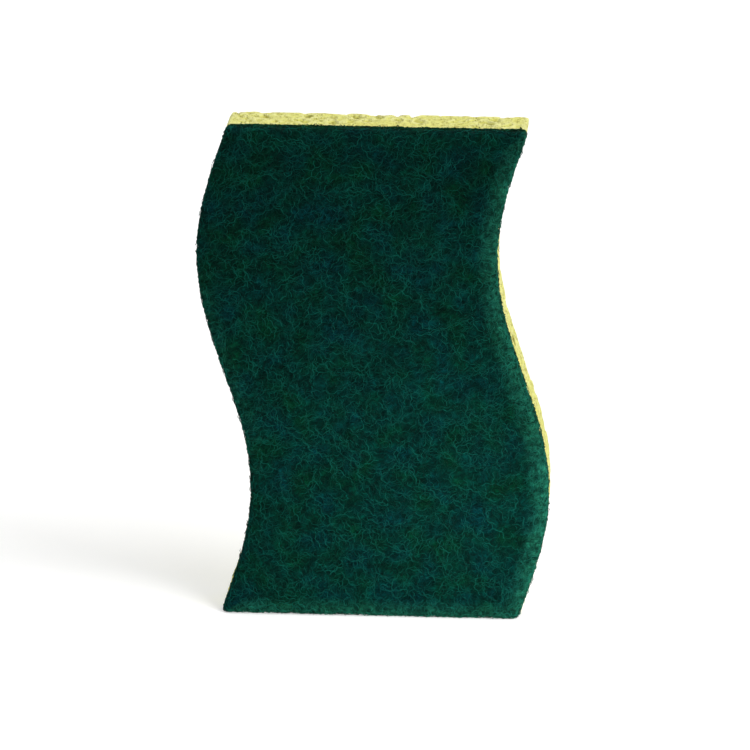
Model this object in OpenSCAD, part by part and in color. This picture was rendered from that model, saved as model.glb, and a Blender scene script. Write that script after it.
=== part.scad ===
// Wave-cut scrub sponge: a nonwoven scrubbing pad laminated to a block of cellulose sponge.
//
// Frame: the sponge stands on its lower cut end. X runs across the width, Y through the thickness with the
// scrubbing face toward -Y, and Z up the length. The origin is the middle of the footprint, on the surface.

/* [Die-cut outline] */
// Length from one cut end to the other
sponge_len = 115; // [90:1:150]
// Width between the two wavy sides, measured straight across
cut_w = 67.5; // [50:0.5:90]
// How far the sides swing to each side of straight
wave_depth = 6; // [2:0.5:9]
// Length of one full S along the sides
wave_len = 110; // [90:1:150]
// Radius of the four cut corners
corner_r = 0.6; // [0.3:0.1:5]

/* [Layers] */
// Thickness of the scrubbing pad
pad_t = 5; // [3:0.1:9]
// Thickness of the cured glue film
glue_t = 0.3; // [0.2:0.05:0.8]
// How far the glue film stays back from the cut sides
glue_back = 0.4; // [0.1:0.1:1.5]
// Thickness of the cellulose block
cellulose_t = 10.7; // [7:0.1:25]

/* [Pinched edges] */
// How far in from the cut the pad's front edge starts to roll over
pad_roll_in = 3.6; // [1:0.1:6]
// How deep the pad's front edge rolls over
pad_roll_depth = 1.6; // [0.5:0.1:2.5]
// How far in from the cut the block's back edge starts to roll over
block_roll_in = 1.1; // [0.3:0.1:3]
// How deep the block's back edge rolls over
block_roll_depth = 0.9; // [0.3:0.1:3]

/* [Open pores] */
// Spacing of the large pores on the wiping face
face_pore_pitch = 10.4; // [8:0.2:16]
// Largest radius of those pores
face_pore_r = 2.2; // [0.8:0.1:2.6]
// Spacing of the pores along the cut sides and ends
rim_pore_pitch = 11; // [8:0.2:18]
// Largest radius of those pores
rim_pore_r = 1.3; // [0.6:0.05:1.6]
// Radius of the three voids that break the top back edge
edge_void_r = 1.2; // [0.8:0.1:2.5]

/* [Hidden] */

// The layers share one stack, centred on the origin
stack_t = pad_t + glue_t + cellulose_t;
front_y = -stack_t / 2;
glue_y = front_y + pad_t;
block_y = glue_y + glue_t;
back_y = front_y + stack_t;

// Fineness of the outline, of its corners and of the rolled edges
side_steps = 28;
corner_steps = 4;
roll_steps = 5;

// Where the edge voids lie, as shares of the width from the left
edge_void_at = [0.11, 0.51, 0.81];

// Smallest and largest pore, as shares of the largest radius
pore_sizes = [0.45, 1];
// How far a pore strays from its place in the pattern, as a share of the spacing
pore_scatter = 0.8;
// Depth of a pore's centre under its face, as a share of its radius, shallowest and deepest
pore_sink = [0.1, 0.5];
// Radius and distance of the smaller cell that a pore opens into, as shares of the pore's radius
cell_share = [0.45, 0.8];
cell_reach = 0.9;
// Sides of a pore
pore_sides = 8;
// Solid left between a pore and the nearest edge
rim_margin = 1;
// Start of the random series that scatters the pores
pore_seed = 123;

// Sideways place of the middle of the sponge at height z
function sway(z) = -wave_depth * sin(360 * (z - sponge_len / 2) / wave_len);

// Sideways change of that place for each unit of height
function lean(z) = -wave_depth * 2 * PI / wave_len * cos(360 * (z - sponge_len / 2) / wave_len);

// Point on a wavy side, pulled in by inset: side is -1 for the left and 1 for the right
function side_point(side, z, inset) =
    [sway(z) + side * (cut_w / 2 - inset * sqrt(1 + lean(z) ^ 2)), z];

// Unit direction up a side at height z
function side_up(z) = [lean(z), 1] / sqrt(1 + lean(z) ^ 2);

// Vector v turned by angle a
function turned(v, a) = [v.x * cos(a) - v.y * sin(a), v.x * sin(a) + v.y * cos(a)];

// Round of radius r at corner p, from its leg along u to its leg along v; way is 1 where it turns anticlockwise
function corner_round(p, u, v, r, way) =
    let (
        half = acos(u * v) / 2,
        reach = r / tan(half),
        centre = p + (u + v) / norm(u + v) * r / sin(half),
        start = p + u * reach - centre
    )
    [for (i = [0:corner_steps]) centre + turned(start, way * (180 - 2 * half) * i / corner_steps)];

// Length that a corner takes off its side; toward is the way its end runs, 1 to the right
function corner_reach(z, toward) = corner_r / tan(acos(toward * side_up(z) * [1, 0]) / 2);

// Points between heights low and high on a side, without those at its two corners
function side_run(side, low, high, inset) =
    [for (i = [1:side_steps - 1]) side_point(side, low + (high - low) * i / side_steps, inset)];

// One half of the die-cut outline from bottom to top, pulled in by inset: side is -1 or 1
function half_outline(side, inset) =
    let (
        low = inset,
        high = sponge_len - inset,
        low_end = corner_round(side_point(side, low, inset), [-side, 0], side_up(low), corner_r, side),
        high_end = corner_round(side_point(side, high, inset), -side_up(high), [-side, 0], corner_r, side)
    )
    concat(
        low_end,
        side_run(side, low + corner_reach(low, -side), high - corner_reach(high, side), inset),
        high_end
    );

// The whole outline, anticlockwise from the foot of the right side
function outline(inset) =
    let (left = half_outline(-1, inset))
    concat(half_outline(1, inset), [for (i = [len(left) - 1:-1:0]) left[i]]);

// Rings of a rolled edge, each [y, inset], from a face at y out to the cut side; out is the way it rolls
function roll_rings(y, out, roll_in, roll_depth) =
    [for (i = [0:roll_steps]) let (a = 90 * i / roll_steps)
        [y + out * roll_depth * (1 - cos(a)), roll_in * (1 - sin(a))]];

// Solid skinned over outlines: rings is a list of [y, inset] from front to back
module skinned(rings) {
    count = len(outline(0));
    last = len(rings) - 1;
    points = [for (ring = rings) for (p = outline(ring[1])) [p.x, ring[0], p.y]];
    // Both end faces are laid as rungs from the right half of the outline to the left half
    front = [for (i = [0:count / 2 - 2]) [count - 1 - i, count - 2 - i, i + 1, i]];
    back = [for (rung = front) [for (i = [3:-1:0]) last * count + rung[i]]];
    skin = [for (k = [0:last - 1]) for (i = [0:count - 1])
        let (
            a = k * count + i,
            b = k * count + (i + 1) % count,
            c = b + count,
            d = a + count
        )
        each [[a, b, c], [a, c, d]]];
    polyhedron(points, concat(front, skin, back));
}

// Five random shares from 0 to 1 that belong to one cell of a pore pattern
function cell_shares(bank, i, j) = rands(0, 1, 5, pore_seed + 1000 * bank + 37 * i + j);

// Value at share t of a range
function between(range, t) = range[0] + (range[1] - range[0]) * t;

// An oval pore of radius r at p, drawn out toward a smaller cell; across and along lie in the pore's face
module pore(p, r, across, along, shares) {
    turn = 360 * shares[3];
    drawn_out = (across * cos(turn) + along * sin(turn)) * r * cell_reach;
    hull() {
        translate(p)
            sphere(r, $fn = pore_sides);
        translate(p + drawn_out)
            sphere(r * between(cell_share, shares[4]), $fn = pore_sides);
    }
}

// Pores scattered over the wiping face; some break out through the sides
module face_pores() {
    across = ceil((cut_w / 2 + wave_depth) / face_pore_pitch);
    up = ceil(sponge_len / face_pore_pitch);
    for (i = [-across:across], j = [0:up]) {
        shares = cell_shares(1, i + across, j);
        r = face_pore_r * between(pore_sizes, shares[2]);
        x = (i + 0.5 * (j % 2) + pore_scatter * (shares[0] - 0.5)) * face_pore_pitch;
        z = (j + 0.5 + pore_scatter * (shares[1] - 0.5)) * face_pore_pitch;
        if (abs(x - sway(z)) < cut_w / 2 && z > 2 * r && z < sponge_len - 2 * r)
            pore([x, back_y - r * between(pore_sink, shares[4]), z], r, [1, 0, 0], [0, 0, 1], shares);
    }
}

// Depth of a rim pore of radius r: between the glued face and the rolled back edge
function rim_pore_y(r, share) =
    between([block_y + rim_margin + 2 * r, back_y - block_roll_depth - 2 * r], share);

// Pores along both wavy sides
module side_pores() {
    for (side = [-1, 1], j = [1:floor(sponge_len / rim_pore_pitch) - 1]) {
        shares = cell_shares(3, side + 1, j);
        r = rim_pore_r * between(pore_sizes, shares[2]);
        z = (j + pore_scatter * (shares[0] - 0.5)) * rim_pore_pitch;
        wall = side_point(side, z, r * between(pore_sink, shares[3]));
        pore([wall.x, rim_pore_y(r, shares[1]), wall.y], r, [0, 1, 0], [0, 0, 1], shares);
    }
}

// Pores across the two cut ends
module end_pores() {
    count = floor(cut_w / 2 / rim_pore_pitch);
    for (top = [0, 1], i = [0.5 - count:count - 0.5]) {
        shares = cell_shares(5, top, i + count);
        r = rim_pore_r * between(pore_sizes, shares[2]);
        sink = r * between(pore_sink, shares[3]);
        z = top == 1 ? sponge_len - sink : sink;
        x = sway(z) + (i + pore_scatter / 2 * (shares[0] - 0.5)) * rim_pore_pitch;
        pore([x, rim_pore_y(r, shares[1]), z], r, [0, 1, 0], [1, 0, 0], shares);
    }
}

// The three voids that notch the top back edge
module edge_voids() {
    left = side_point(-1, sponge_len, 0).x;
    for (share = edge_void_at)
        translate([left + share * cut_w, back_y, sponge_len])
            sphere(edge_void_r, $fn = 2 * pore_sides);
}

// Scrubbing pad of bonded nonwoven fibre, its front edge pinched by the die
module scrub_pad() {
    color("#05302a")
        skinned(concat(roll_rings(front_y, 1, pad_roll_in, pad_roll_depth), [[glue_y, 0]]));
}

// Cured film of waterproof glue between the two layers
module glue_film() {
    color("#8a8a3c")
        translate([0, block_y, 0])
            rotate([90, 0, 0])
                linear_extrude(glue_t)
                    polygon(outline(glue_back));
}

// Block of yellow cellulose sponge with open pores on every cut face
module cellulose_block() {
    back_roll = roll_rings(back_y, -1, block_roll_in, block_roll_depth);
    color("#e1dc80")
        difference() {
            skinned(concat([[block_y, 0]], [for (i = [roll_steps:-1:0]) back_roll[i]]));
            face_pores();
            side_pores();
            end_pores();
            edge_voids();
        }
}

scrub_pad();
glue_film();
cellulose_block();
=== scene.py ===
import math
import random

import bpy
import numpy as np
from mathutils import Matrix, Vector, kdtree, noise
from mathutils.bvhtree import BVHTree


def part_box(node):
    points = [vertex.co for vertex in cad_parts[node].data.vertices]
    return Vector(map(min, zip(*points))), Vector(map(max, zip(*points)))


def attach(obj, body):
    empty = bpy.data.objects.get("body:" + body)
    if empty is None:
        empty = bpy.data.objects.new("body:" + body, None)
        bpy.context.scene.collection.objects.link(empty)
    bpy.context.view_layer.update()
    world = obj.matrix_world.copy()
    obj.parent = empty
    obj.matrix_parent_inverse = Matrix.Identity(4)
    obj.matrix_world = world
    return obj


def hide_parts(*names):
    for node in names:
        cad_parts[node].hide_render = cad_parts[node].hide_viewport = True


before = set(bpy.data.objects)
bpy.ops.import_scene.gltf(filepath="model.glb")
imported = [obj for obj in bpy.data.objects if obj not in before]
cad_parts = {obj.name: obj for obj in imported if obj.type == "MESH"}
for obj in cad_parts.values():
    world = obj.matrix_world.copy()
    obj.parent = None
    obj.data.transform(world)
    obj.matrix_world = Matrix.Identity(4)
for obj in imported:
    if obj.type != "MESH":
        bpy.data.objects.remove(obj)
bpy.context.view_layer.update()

bpy.ops.object.select_all(action="DESELECT")


# Cellulose block. A slab of regenerated cellulose foam, dyed yellow, sawn flat and die cut while damp. It
# shows cut cells on every face: a few large pores, many small ones with thin rims, and fine pinholes.
# Shade in the pits and pinholes is painted into its colour, and so is a highlight on the ridges.

MM = 0.001
merge_reach = 0.002 * MM
block_voxel = 0.38 * MM
block_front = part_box("cellulose_block")[0].y

# A face belongs to the glued side if it lies within this share of a voxel from it, and faces it this squarely
glued_reach = 0.6
glued_square = 0.99

# The faces are worked less and less within this band of the glued side, and softened afterwards
block_still_band = 1.5 * MM
block_soften = 0.3
block_wave_height = 0.16 * MM
block_wave_scale = 260
block_wave_fall = 1.0
block_wave_ratio = 2.1
block_wave_octaves = 3
block_cavity_rounds = 8
block_cavity_depth = 0.45 * MM

# Small pores: most are near the least radius, and their gaps, reach and depth are shares of their radii
pore_seed = 31
pore_tries = 3000
pore_clearance = 1.2 * block_voxel
pore_radius = (0.36 * MM, 1.2 * MM)
pore_skew = 2.2
pore_gap = 0.85
pore_reach = 1.5
pore_depth = 1.6
pore_wall_power = 0.9
pore_stretch = 0.4
pore_ragged = 0.35
pore_ragged_scale = 1400
pore_same_face = 0.2

# The pale yellow also paints a highlight on the ridges, and the deep yellow paints shade in pits and
# pinholes, besides their random patches and specks
yellow = (0.790, 0.780, 0.200, 1)
yellow_rim = (0.86, 0.85, 0.36, 1)
yellow_deep_and_shade = (0.50, 0.43, 0.075, 1)
mottle_spread = (0.32, 0.68)
foam_scales = (90, 420, 1500)
foam_grain_height = 0.35 * MM


def select_alone(piece):
    """Makes a piece the only selected object, and the active one."""
    bpy.ops.object.select_all(action="DESELECT")
    piece.select_set(True)
    bpy.context.view_layer.objects.active = piece


def soft_copy(node, name, voxel):
    """A closed, evenly meshed copy of a CAD node, ready to be worked as a soft piece."""
    piece = bpy.data.objects.new(name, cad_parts[node].data.copy())
    bpy.context.scene.collection.objects.link(piece)
    piece.data.name = name
    piece.data.materials.clear()
    select_alone(piece)
    bpy.ops.object.mode_set(mode="EDIT")
    bpy.ops.mesh.select_all(action="SELECT")
    bpy.ops.mesh.remove_doubles(threshold=merge_reach)
    bpy.ops.object.mode_set(mode="OBJECT")
    remesh = piece.modifiers.new("even mesh", "REMESH")
    remesh.mode = "VOXEL"
    remesh.voxel_size = voxel
    bpy.ops.object.modifier_apply(modifier=remesh.name)
    return piece


def close_glued_side(piece, y, voxel):
    """Lays one plain face over the glued side of a piece, which nothing shows."""
    select_alone(piece)
    for face in piece.data.polygons:
        face.select = abs(face.center.y - y) < glued_reach * voxel and abs(face.normal.y) > glued_square
    bpy.ops.object.mode_set(mode="EDIT")
    bpy.ops.mesh.select_mode(type="FACE")
    bpy.ops.mesh.delete(type="FACE")
    bpy.ops.mesh.select_mode(type="EDGE")
    bpy.ops.mesh.select_all(action="DESELECT")
    bpy.ops.mesh.select_non_manifold(extend=False)
    bpy.ops.mesh.edge_face_add()
    bpy.ops.mesh.select_mode(type="VERT")
    bpy.ops.object.mode_set(mode="OBJECT")


def mesh_arrays(piece):
    """Vertex places, vertex normals and edges of a piece as arrays."""
    mesh = piece.data
    places = np.empty(len(mesh.vertices) * 3)
    mesh.vertices.foreach_get("co", places)
    normals = np.empty(len(mesh.vertices) * 3)
    mesh.vertex_normals.foreach_get("vector", normals)
    edges = np.empty(len(mesh.edges) * 2, dtype=np.int32)
    mesh.edges.foreach_get("vertices", edges)
    return places.reshape(-1, 3), normals.reshape(-1, 3), edges.reshape(-1, 2)


def relaxed(places, edges, rounds):
    """The places after each has moved to the mean of its neighbours a number of times."""
    count = len(places)
    ends = np.concatenate((edges[:, 0], edges[:, 1]))
    others = np.concatenate((edges[:, 1], edges[:, 0]))
    valence = np.maximum(np.bincount(ends, minlength=count), 1)[:, None]
    for _ in range(rounds):
        sums = [np.bincount(ends, weights=places[others, axis], minlength=count) for axis in range(3)]
        places = np.stack(sums, axis=1) / valence
    return places


def store_places(piece, places):
    """Writes vertex places back to a piece."""
    piece.data.vertices.foreach_set("co", places.astype(np.float32).ravel())
    piece.data.update()


def store_value(mesh, name, values):
    """Keeps one value for each vertex, for the material to read."""
    attribute = mesh.attributes.new(name, "FLOAT", "POINT")
    attribute.data.foreach_set("value", np.asarray(values, dtype=np.float32))


def store_cavity(piece, rounds, full_depth):
    """Keeps how deep each vertex lies in a pit, from -1 on a ridge to 1 in a pore."""
    places, normals, edges = mesh_arrays(piece)
    hollow = ((relaxed(places, edges, rounds) - places) * normals).sum(axis=1) / full_depth
    store_value(piece.data, "cavity", np.clip(hollow, -1, 1))


def open_small_pores(places, normals):
    """How far each vertex sinks where small cells are cut open, one by one, on the sawn and die-cut faces."""
    cut_face = np.flatnonzero(places[:, 1] > block_front + pore_clearance)
    tree = kdtree.KDTree(len(places))
    for index, place in enumerate(places):
        tree.insert(place, index)
    tree.balance()
    draw = random.Random(pore_seed)
    sunk = np.zeros(len(places))
    opened = []
    for _ in range(pore_tries):
        start = int(cut_face[draw.randrange(len(cut_face))])
        size = draw.random() ** pore_skew
        radius = pore_radius[0] + (pore_radius[1] - pore_radius[0]) * size
        long_way = Vector([draw.uniform(-1, 1) for _ in range(3)]).normalized()
        centre = Vector(places[start])
        if any((centre - other).length < pore_gap * (radius + reach) for other, reach in opened):
            continue
        opened.append((centre, radius))
        axis = Vector(normals[start])
        for _, index, _ in tree.find_range(centre, pore_reach * radius):
            if Vector(normals[index]).dot(axis) < pore_same_face:
                continue
            away = Vector(places[index]) - centre
            away -= away.dot(axis) * axis
            away -= pore_stretch * away.dot(long_way) * long_way
            ragged = 1 + pore_ragged * noise.noise(Vector(places[index]) * pore_ragged_scale)
            share = away.length / (radius * ragged)
            if share < 1:
                depth = pore_depth * radius * (1 - share ** 2) ** pore_wall_power
                sunk[index] = max(sunk[index], depth)
    return sunk


def wave_at(place):
    """Slow ripple of the sawn and cut faces at a place."""
    scaled = Vector(place) * block_wave_scale
    return noise.fractal(scaled, block_wave_fall, block_wave_ratio, block_wave_octaves)


block = soft_copy("cellulose_block", "cellulose_sponge", block_voxel)
close_glued_side(block, block_front, block_voxel)

places, _, edges = mesh_arrays(block)
store_places(block, relaxed(places, edges, 1))
places, normals, edges = mesh_arrays(block)
sunk = open_small_pores(places, normals)
waves = np.array([wave_at(place) for place in places])
free = np.clip((places[:, 1] - block_front) / block_still_band, 0, 1)
shift = (waves * block_wave_height - sunk) * free
places = places + normals * shift[:, None]
places = (1 - block_soften) * places + block_soften * relaxed(places, edges, 1)
places[:, 2] = np.maximum(places[:, 2], 0)
places[:, 1] = np.maximum(places[:, 1], block_front)
store_places(block, places)
store_cavity(block, block_cavity_rounds, block_cavity_depth)
bpy.ops.object.shade_smooth()


def new_material(name, roughness, specular):
    """A material with its Principled shader, and the object coordinates that its patterns read."""
    material = bpy.data.materials.new(name)
    material.use_nodes = True
    shader = material.node_tree.nodes["Principled BSDF"]
    shader.inputs["Roughness"].default_value = roughness
    shader.inputs["Specular IOR Level"].default_value = specular
    coordinates = material.node_tree.nodes.new("ShaderNodeTexCoord")
    return material, shader, coordinates.outputs["Object"]


def mottle_group():
    """Slow patches, clumps and fine specks, each from 0 to 1, as dye and binder leave them when they dry."""
    group = bpy.data.node_groups.new("dye_mottle", "ShaderNodeTree")
    group.interface.new_socket("Vector", in_out="INPUT", socket_type="NodeSocketVector")
    nodes, links = group.nodes, group.links
    given = nodes.new("NodeGroupInput")
    result = nodes.new("NodeGroupOutput")
    for name, detail in (("Patches", 2), ("Clumps", 2), ("Specks", 4)):
        group.interface.new_socket(name + " Scale", in_out="INPUT", socket_type="NodeSocketFloat")
        group.interface.new_socket(name, in_out="OUTPUT", socket_type="NodeSocketFloat")
        texture = nodes.new("ShaderNodeTexNoise")
        texture.inputs["Detail"].default_value = detail
        spread = nodes.new("ShaderNodeMapRange")
        spread.inputs["From Min"].default_value = mottle_spread[0]
        spread.inputs["From Max"].default_value = mottle_spread[1]
        links.new(given.outputs["Vector"], texture.inputs["Vector"])
        links.new(given.outputs[name + " Scale"], texture.inputs["Scale"])
        links.new(texture.outputs["Fac"], spread.inputs["Value"])
        links.new(spread.outputs["Result"], result.inputs[name])
    return group


def mottle(material, vector, scales):
    """Places the mottle in a material and gives its patches, clumps and specks."""
    node = material.node_tree.nodes.new("ShaderNodeGroup")
    node.node_tree = dye_mottle
    for name, scale in zip(("Patches", "Clumps", "Specks"), scales):
        node.inputs[name + " Scale"].default_value = scale
    material.node_tree.links.new(vector, node.inputs["Vector"])
    return node.outputs["Patches"], node.outputs["Clumps"], node.outputs["Specks"]


def mixed(material, factor, low, high):
    """The colour between low and high that a factor picks; either may be a colour or another output."""
    node = material.node_tree.nodes.new("ShaderNodeMix")
    node.data_type = "RGBA"
    for socket, value in ((node.inputs[0], factor), (node.inputs[6], low), (node.inputs[7], high)):
        if isinstance(value, bpy.types.NodeSocket):
            material.node_tree.links.new(value, socket)
        else:
            socket.default_value = value
    return node.outputs[2]


def ranged(material, value, span, result):
    """A value carried from its span, a low and a high end, to the two ends of the result, and held there."""
    node = material.node_tree.nodes.new("ShaderNodeMapRange")
    for socket, number in zip(("From Min", "From Max", "To Min", "To Max"), (*span, *result)):
        node.inputs[socket].default_value = number
    material.node_tree.links.new(value, node.inputs["Value"])
    return node.outputs["Result"]


def tinted(material, base, tint, mask, span, shares):
    """The base colour with a share of the tint over it, which follows the mask along its span."""
    return mixed(material, ranged(material, mask, span, shares), base, tint)


def attribute_value(material, name):
    """The output of a value that the piece's mesh carries."""
    node = material.node_tree.nodes.new("ShaderNodeAttribute")
    node.attribute_name = name
    return node.outputs["Fac"]


dye_mottle = mottle_group()

foam, foam_shader, foam_place = new_material("yellow_cellulose_foam", roughness=0.92, specular=0.25)
nodes, links = foam.node_tree.nodes, foam.node_tree.links
patches, clumps, specks = mottle(foam, foam_place, foam_scales)
dye_and_painted_light = tinted(foam, yellow, yellow_rim, patches, (0, 1), (0, 0.35))
dye_and_painted_light = tinted(foam, dye_and_painted_light, yellow_rim, clumps, (0.6, 1), (0, 0.3))
dye_and_painted_light = tinted(foam, dye_and_painted_light, yellow_deep_and_shade, specks, (0.55, 1), (0, 0.45))
# Painted shade and highlight: pits are darkened and ridges made paler by how deep each vertex lies
pit_shade_and_ridge_highlight = attribute_value(foam, "cavity")
dye_and_painted_light = tinted(foam, dye_and_painted_light, yellow_deep_and_shade, pit_shade_and_ridge_highlight, (0.05, 1), (0, 0.9))
dye_and_painted_light = tinted(foam, dye_and_painted_light, yellow_rim, pit_shade_and_ridge_highlight, (-0.35, -0.05), (0.7, 0))


def worked_out(operation, first, second):
    """The sum, the product or the greater of two outputs of the foam."""
    node = nodes.new("ShaderNodeMath")
    node.operation = operation
    links.new(first, node.inputs[0])
    links.new(second, node.inputs[1])
    return node.outputs["Value"]


def foam_pinholes(scale, opening, chosen):
    """Pinholes of one scale: each opening fades out from its cell's middle, and only chosen cells are cut."""
    cells = nodes.new("ShaderNodeTexVoronoi")
    cells.inputs["Scale"].default_value = scale
    links.new(foam_place, cells.inputs["Vector"])
    own_value = nodes.new("ShaderNodeSeparateColor")
    links.new(cells.outputs["Color"], own_value.inputs["Color"])
    near = ranged(foam, cells.outputs["Distance"], opening, (1, 0))
    return worked_out("MULTIPLY", near, ranged(foam, own_value.outputs["Red"], chosen, (0, 1)))


# About half of the fine cells are cut open and show as pinholes, darkened in colour as painted shade
coarse_holes = foam_pinholes(scale=900, opening=(0.22, 0.42), chosen=(0.5, 0.6))
fine_holes = foam_pinholes(scale=2100, opening=(0.25, 0.45), chosen=(0.45, 0.55))
pinholes = worked_out("MAXIMUM", coarse_holes, fine_holes)
# Painted shade: the pinholes are darkened toward the deep yellow
dye_and_painted_light = tinted(foam, dye_and_painted_light, yellow_deep_and_shade, pinholes, (0, 1), (0, 0.5))
links.new(dye_and_painted_light, foam_shader.inputs["Base Color"])
unpierced = ranged(foam, pinholes, (0, 1), (0.7, 0))
face_height = worked_out("ADD", unpierced, ranged(foam, specks, (0, 1), (0, 0.3)))
grain = nodes.new("ShaderNodeBump")
grain.inputs["Strength"].default_value = 1
grain.inputs["Distance"].default_value = foam_grain_height
links.new(face_height, grain.inputs["Height"])
links.new(grain.outputs["Normal"], foam_shader.inputs["Normal"])

block.data.materials.append(foam)
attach(block, "root")
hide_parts("cellulose_block")


# Glue film. Waterproof glue is rolled on the block and cures to a thin, dull film that holds the pad. The
# die leaves its edge a little back from the cut, where it shows as a dark line between green and yellow.

glue_dark = (0.055, 0.075, 0.02, 1)
glue_light = (0.16, 0.17, 0.05, 1)
glue_scales = (250, 600, 1200)

glue, glue_shader, glue_place = new_material("cured_waterproof_glue", roughness=0.6, specular=0.3)
patches, _, specks = mottle(glue, glue_place, glue_scales)
links = glue.node_tree.links
links.new(mixed(glue, specks, glue_dark, glue_light), glue_shader.inputs["Base Color"])
links.new(ranged(glue, patches, (0, 1), (0.45, 0.75)), glue_shader.inputs["Roughness"])
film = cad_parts["glue_film"]
film.data.materials.clear()
film.data.materials.append(glue)


# Scrubbing pad, body of the web. Crimped synthetic fibres are laid at random, needled together and bonded
# with a dark green resin that carries fine mineral grit. The die pinches the front edge, so that it rolls
# over toward the block.

pad_voxel = 0.5 * MM
pad_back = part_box("scrub_pad")[1].y
pad_sink = 0.14 * MM
pad_still_band = 0.6 * MM
pad_lump_height = 0.16 * MM
pad_lump_scale = 620
pad_swell_height = 0.1 * MM
pad_swell_scale = 130
pad_cavity_rounds = 4
pad_cavity_depth = 0.12 * MM
cut_line_band = 0.1 * MM
# Painted rim light: the web is coloured paler within this width of the cut edge
rim_width = 5 * MM
rim_pinch_least = 0.15
rim_pinch_gain = 0.85
bond_width = 2.4 * MM
green_deep_and_shade = (0.0004, 0.0100, 0.0076, 1)
green_warm = (0.0006, 0.0550, 0.0225, 1)
green_cool = (0.0006, 0.0490, 0.0550, 1)
green_rim = (0.0240, 0.2350, 0.1400, 1)
green_bond = (0.0110, 0.0560, 0.0050, 1)
web_scales = (140, 820, 1800)
web_grit_height = 0.2 * MM

pad = soft_copy("scrub_pad", "scrub_web_body", pad_voxel)
close_glued_side(pad, pad_back, pad_voxel)
pad_skin = BVHTree.FromObject(pad, bpy.context.evaluated_depsgraph_get())
places, normals, _ = mesh_arrays(pad)

# The cut line of the pad, in the plane of the bond, tells how near a fibre lies to the rim. A paler colour is
# painted along the rims as a highlight, strongest on the right and lower rims where the light falls.
on_cut = places[:, 1] > pad_back - cut_line_band
cut_line = places[on_cut]
outward = normals[on_cut][:, [0, 2]]
outward = outward / np.linalg.norm(outward, axis=1, keepdims=True)
to_the_right = rim_pinch_gain * np.maximum(outward[:, 0], 0)
downward = rim_pinch_gain * np.maximum(-outward[:, 1], 0)
rim_light_strength = np.clip(rim_pinch_least + to_the_right + downward, 0, 1)
cut_tree = kdtree.KDTree(len(cut_line))
for index, place in enumerate(cut_line):
    cut_tree.insert((place[0], 0, place[2]), index)
cut_tree.balance()


def rim_shares(points):
    """How much painted rim light the web has at each point, from 0 inside the pad to 1 at the brightest lit
    cut.
    """
    nearest = [cut_tree.find((x, 0, z)) for x, _, z in points]
    shares = np.array([1 - distance / rim_width for _, _, distance in nearest])
    return np.clip(shares, 0, 1) * rim_light_strength[[index for _, index, _ in nearest]]


def store_pad_shares(mesh, rim, y):
    """Keeps the share of painted rim light at each vertex, and how near it lies to the bond."""
    store_value(mesh, "rim", rim)
    store_value(mesh, "bond", np.clip(1 - (pad_back - y) / bond_width, 0, 1))


lumps = np.array([noise.noise(Vector(place) * pad_lump_scale) for place in places])
swell = np.array([noise.noise(Vector(place) * pad_swell_scale) for place in places])
free = np.clip((pad_back - places[:, 1]) / pad_still_band, 0, 1)
shift = (lumps * pad_lump_height + swell * pad_swell_height - pad_sink) * free
places = places + normals * shift[:, None]
places[:, 1] = np.minimum(places[:, 1], pad_back)
places[:, 2] = np.maximum(places[:, 2], 0)
store_places(pad, places)
store_cavity(pad, pad_cavity_rounds, pad_cavity_depth)
store_pad_shares(pad.data, rim_shares(places), places[:, 1])
bpy.ops.object.shade_smooth()


def web_colour(material, place):
    """Resin colour of the web: hue patches, a painted highlight along the rims that is strongest on the right
    and lower rims, an olive bond and darker clumps; and its specks.
    """
    patches, clumps, specks = mottle(material, place, web_scales)
    dye_and_painted_light = mixed(material, patches, green_warm, green_cool)
    dye_and_painted_light = tinted(material, dye_and_painted_light, green_rim, attribute_value(material, "rim"), (0.1, 1), (0, 0.9))
    dye_and_painted_light = tinted(material, dye_and_painted_light, green_bond, attribute_value(material, "bond"), (0, 0.6), (0, 0.8))
    return tinted(material, dye_and_painted_light, green_deep_and_shade, clumps, (0, 1), (0.75, 0)), specks


web, web_shader, web_place = new_material("green_resin_bonded_web", roughness=0.9, specular=0.03)
nodes, links = web.node_tree.nodes, web.node_tree.links
dye_and_painted_light, specks = web_colour(web, web_place)
dye_and_painted_light = tinted(web, dye_and_painted_light, green_deep_and_shade, specks, (0, 0.8), (0.8, 0))
# Painted shade: the hollows of the web body are darkened by how deep each vertex lies in a pit
dye_and_painted_light = tinted(web, dye_and_painted_light, green_deep_and_shade, attribute_value(web, "cavity"), (-0.2, 0.8), (0, 0.9))
links.new(dye_and_painted_light, web_shader.inputs["Base Color"])
grit = nodes.new("ShaderNodeBump")
grit.inputs["Strength"].default_value = 0.8
grit.inputs["Distance"].default_value = web_grit_height
links.new(specks, grit.inputs["Height"])
links.new(grit.outputs["Normal"], web_shader.inputs["Normal"])

pad.data.materials.append(web)
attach(pad, "root")
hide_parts("scrub_pad")


# Scrubbing pad, loose strands of the web. The outermost fibres lie in thin layers over the body, crimped
# and crossing in all directions, each coated with resin. Most lie down along the web, and a few rise from
# it toward one end.

strand_seed = 12
strand_layers = 4
strands_each = 2350
strand_start_band = 0.3 * MM
strand_points = 12
strand_step = 0.52 * MM
strand_radius = (0.065 * MM, 0.115 * MM)
strand_tip = 0.35
strand_sides = 3

# The layers share this lift, and about this many of them lie below the body's skin
strand_lift = 0.12 * MM
strand_sunken = 1.2

# Only a few strands rise far toward their end, and all weave over and under each other
strand_rise = 0.5 * MM
strand_rise_skew = 5
strand_weave = (0.06 * MM, 0.16 * MM)
strand_weave_rate = 1.7

# How widely strands head across, through and up, how they drift to one side, and how they crimp
strand_heading = (1.5, 1, 1)
strand_drift = 0.12
crimp_turn = 0.75
crimp_length = 2.3 * MM
strand_pale = (0.0070, 0.1550, 0.1130, 1)


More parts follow.
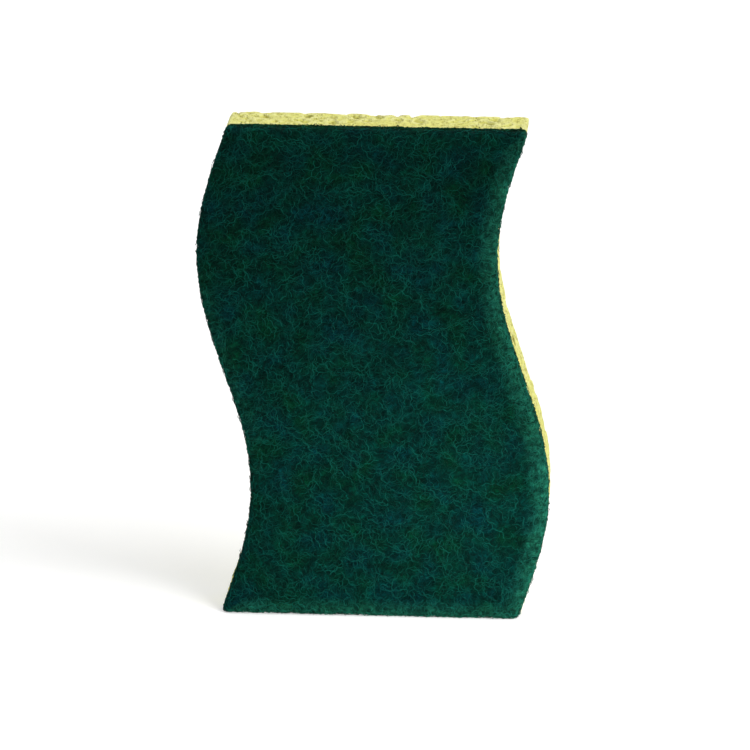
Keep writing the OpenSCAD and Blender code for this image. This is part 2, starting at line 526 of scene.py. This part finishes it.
def pad_starts(count, chance):
    """Random places on the pad's outer skin, evenly spread by area."""
    mesh = pad.data
    areas = np.empty(len(mesh.polygons))
    mesh.polygons.foreach_get("area", areas)
    middles = np.empty(len(mesh.polygons) * 3)
    mesh.polygons.foreach_get("center", middles)
    middles = middles.reshape(-1, 3)
    areas[middles[:, 1] > pad_back - strand_start_band] = 0
    chosen = chance.choice(len(areas), size=count, p=areas / areas.sum())
    return middles[chosen]


def strand_path(start, chance, lift):
    """Centre points and skin normals of one crimped strand that lies on the pad from a starting place."""
    spot, normal, _, _ = pad_skin.find_nearest(Vector(start))
    heading = Vector([chance.normal(0, spread) for spread in strand_heading])
    phase = chance.uniform(0, 2 * math.pi)
    drift = chance.normal(0, strand_drift)
    weave = chance.uniform(*strand_weave)
    rise = strand_rise * chance.uniform(0, 1) ** strand_rise_skew
    path, skin = [], []
    for step in range(strand_points):
        along = step * strand_step / crimp_length * 2 * math.pi
        heading = (heading - heading.dot(normal) * normal).normalized()
        sideways = normal.cross(heading)
        turn = drift + crimp_turn * math.cos(along + phase)
        heading = (heading * math.cos(turn) + sideways * math.sin(turn)).normalized()
        woven = weave * math.sin(strand_weave_rate * along + 2 * phase)
        risen = rise * (step / (strand_points - 1)) ** 2
        path.append(spot + normal * (lift + woven + risen))
        skin.append(normal.copy())
        spot, normal, _, _ = pad_skin.find_nearest(spot + heading * strand_step)
    return path, skin


def strand_vertices(paths, skins, radii):
    """Rings of vertices around the centre points of all strands, thinner at both tips."""
    heads = np.gradient(paths, axis=1)
    heads /= np.linalg.norm(heads, axis=2, keepdims=True)
    across = np.cross(heads, skins)
    across /= np.linalg.norm(across, axis=2, keepdims=True)
    upright = np.cross(across, heads)
    taper = np.ones(strand_points)
    taper[[0, -1]] = strand_tip
    thickness = radii[:, None, None] * taper[None, :, None]
    rings = []
    for side in range(strand_sides):
        angle = 2 * math.pi * side / strand_sides + math.pi / 2
        rings.append(paths + thickness * (across * math.cos(angle) + upright * math.sin(angle)))
    vertices = np.stack(rings, axis=2).reshape(-1, 3)
    vertices[:, 1] = np.minimum(vertices[:, 1], pad_back)
    vertices[:, 2] = np.maximum(vertices[:, 2], 0)
    return vertices


def strand_faces(count):
    """Walls and end caps of a number of strands, all facing outwards."""
    rings = np.arange(count)[:, None] * strand_points + np.arange(strand_points - 1)[None, :]
    base = rings * strand_sides
    faces = []
    for side in range(strand_sides):
        here, beside = base + side, base + (side + 1) % strand_sides
        wall = np.stack((here, here + strand_sides, beside + strand_sides, beside), axis=2)
        faces += wall.reshape(-1, 4).tolist()
    first = np.arange(count) * strand_points * strand_sides
    last = first + (strand_points - 1) * strand_sides
    faces += np.stack([first + side for side in range(strand_sides)], axis=1).tolist()
    faces += np.stack([last + side for side in reversed(range(strand_sides))], axis=1).tolist()
    return faces


def strand_piece(name, paths, skins, radii, tones):
    """One piece of closed strands, with a tone for each that the material reads."""
    paths, skins = np.array(paths), np.array(skins)
    vertices = strand_vertices(paths, skins, radii)
    mesh = bpy.data.meshes.new(name)
    mesh.from_pydata(vertices.tolist(), [], strand_faces(len(paths)))
    mesh.polygons.foreach_set("use_smooth", np.ones(len(mesh.polygons), dtype=bool))
    store_value(mesh, "tone", np.repeat(tones, strand_points * strand_sides))
    rim = np.repeat(rim_shares(paths.reshape(-1, 3)), strand_sides)
    store_pad_shares(mesh, rim, vertices[:, 1])
    piece = bpy.data.objects.new(name, mesh)
    bpy.context.scene.collection.objects.link(piece)
    return piece


strand, strand_shader, strand_place = new_material(
    "green_resin_coated_strand",
    roughness=0.7,
    specular=0.045,
)
links = strand.node_tree.links
tone = attribute_value(strand, "tone")
dye_and_painted_light, specks = web_colour(strand, strand_place)
dye_and_painted_light = tinted(strand, dye_and_painted_light, strand_pale, tone, (0.55, 1), (0, 0.5))
dye_and_painted_light = tinted(strand, dye_and_painted_light, green_deep_and_shade, tone, (0, 0.45), (0.8, 0))
links.new(dye_and_painted_light, strand_shader.inputs["Base Color"])
links.new(ranged(strand, specks, (0, 1), (0.55, 0.85)), strand_shader.inputs["Roughness"])

chance = np.random.default_rng(strand_seed)
for layer in range(strand_layers):
    lift = strand_lift * (layer - strand_sunken) / strand_layers
    made = [strand_path(start, chance, lift) for start in pad_starts(strands_each, chance)]
    radii = chance.uniform(*strand_radius, strands_each)
    tones = chance.uniform(0, 1, strands_each)
    name = f"scrub_web_strands_{layer + 1}"
    strands = strand_piece(name, [path for path, _ in made], [skin for _, skin in made], radii, tones)
    strands.data.materials.append(strand)
    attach(strands, "root")


# Stage. A pale table top and an even white surround, with one broad soft light from the right, a weaker
# one from behind, and a small low panel in front that lifts the foot of the pad. The floor is lifted to
# white only for what looks at it, and keeps the sponge's shadow.

view_azimuth = 4
view_elevation = 18
view_distance = 1.8
view_height = 0.170
view_target = Vector((0, 0, 0.0555))
view_end = 50
sensor_width = 36
floor_size = 14
floor_lift = 0.32
surround_light = 0.45
panel_place = Vector((0.035, -0.095, 0.03))
panel_aim = Vector((0.01, 0, 0))
panel_size = 0.05
panel_energy = 0.075
table_grey = (0.82, 0.82, 0.82, 1)
white = (1, 1, 1, 1)

bpy.ops.mesh.primitive_plane_add(size=floor_size)
floor = bpy.context.object
floor.name = "floor"
table, table_shader, _ = new_material("pale_table_top", roughness=0.9, specular=0.1)
nodes, links = table.node_tree.nodes, table.node_tree.links
table_shader.inputs["Base Color"].default_value = table_grey
table_shader.inputs["Emission Color"].default_value = white


def seen_plainly(nodes, links, low, high):
    """A strength that is high where it is seen or mirrored, and low for the light that falls on things."""
    rays = nodes.new("ShaderNodeLightPath")
    strength = rays.outputs["Is Camera Ray"]
    for name in ("Is Glossy Ray", "Is Transmission Ray"):
        either = nodes.new("ShaderNodeMath")
        either.operation = "MAXIMUM"
        links.new(strength, either.inputs[0])
        links.new(rays.outputs[name], either.inputs[1])
        strength = either.outputs["Value"]
    level = nodes.new("ShaderNodeMapRange")
    level.inputs["To Min"].default_value = low
    level.inputs["To Max"].default_value = high
    links.new(strength, level.inputs["Value"])
    return level.outputs["Result"]


links.new(seen_plainly(nodes, links, 0, floor_lift), table_shader.inputs["Emission Strength"])
floor.data.materials.append(table)

world = bpy.data.worlds.new("white_surround")
bpy.context.scene.world = world
world.use_nodes = True
nodes, links = world.node_tree.nodes, world.node_tree.links
sky = nodes["Background"]
sky.inputs["Color"].default_value = white
links.new(seen_plainly(nodes, links, surround_light, 1), sky.inputs["Strength"])


def turned_along(direction):
    """The rotation that turns a lamp or camera to look along a direction."""
    return direction.to_track_quat("-Z", "Y").to_euler()


def soft_sun(name, strength, spread, direction):
    """A distant soft lamp that shines along a direction; its spread is in degrees."""
    bpy.ops.object.light_add(type="SUN")
    lamp = bpy.context.object
    lamp.name = name
    lamp.data.energy = strength
    lamp.data.angle = math.radians(spread)
    lamp.rotation_euler = turned_along(Vector(direction))


soft_sun("key_from_the_right", strength=1.85, spread=30, direction=(-0.62, 0.34, -0.70))
soft_sun("fill_from_behind", strength=0.8, spread=60, direction=(0.35, -0.80, -0.60))

bpy.ops.object.light_add(type="AREA", location=panel_place)
panel = bpy.context.object
panel.name = "low_panel_before_the_sponge"
panel.data.size = panel_size
panel.data.energy = panel_energy
panel.visible_camera = False
panel.rotation_euler = turned_along(panel_aim - panel_place)

azimuth, elevation = math.radians(view_azimuth), math.radians(view_elevation)
back = Vector((
    math.sin(azimuth) * math.cos(elevation),
    -math.cos(azimuth) * math.cos(elevation),
    math.sin(elevation),
))
bpy.ops.object.camera_add(location=view_target + back * view_distance)
camera = bpy.context.object
camera.rotation_euler = turned_along(-back)
camera.data.sensor_width = sensor_width
camera.data.lens = sensor_width * view_distance / view_height
camera.data.clip_end = view_end
bpy.context.scene.camera = camera
bpy.context.scene.view_settings.view_transform = "Standard"
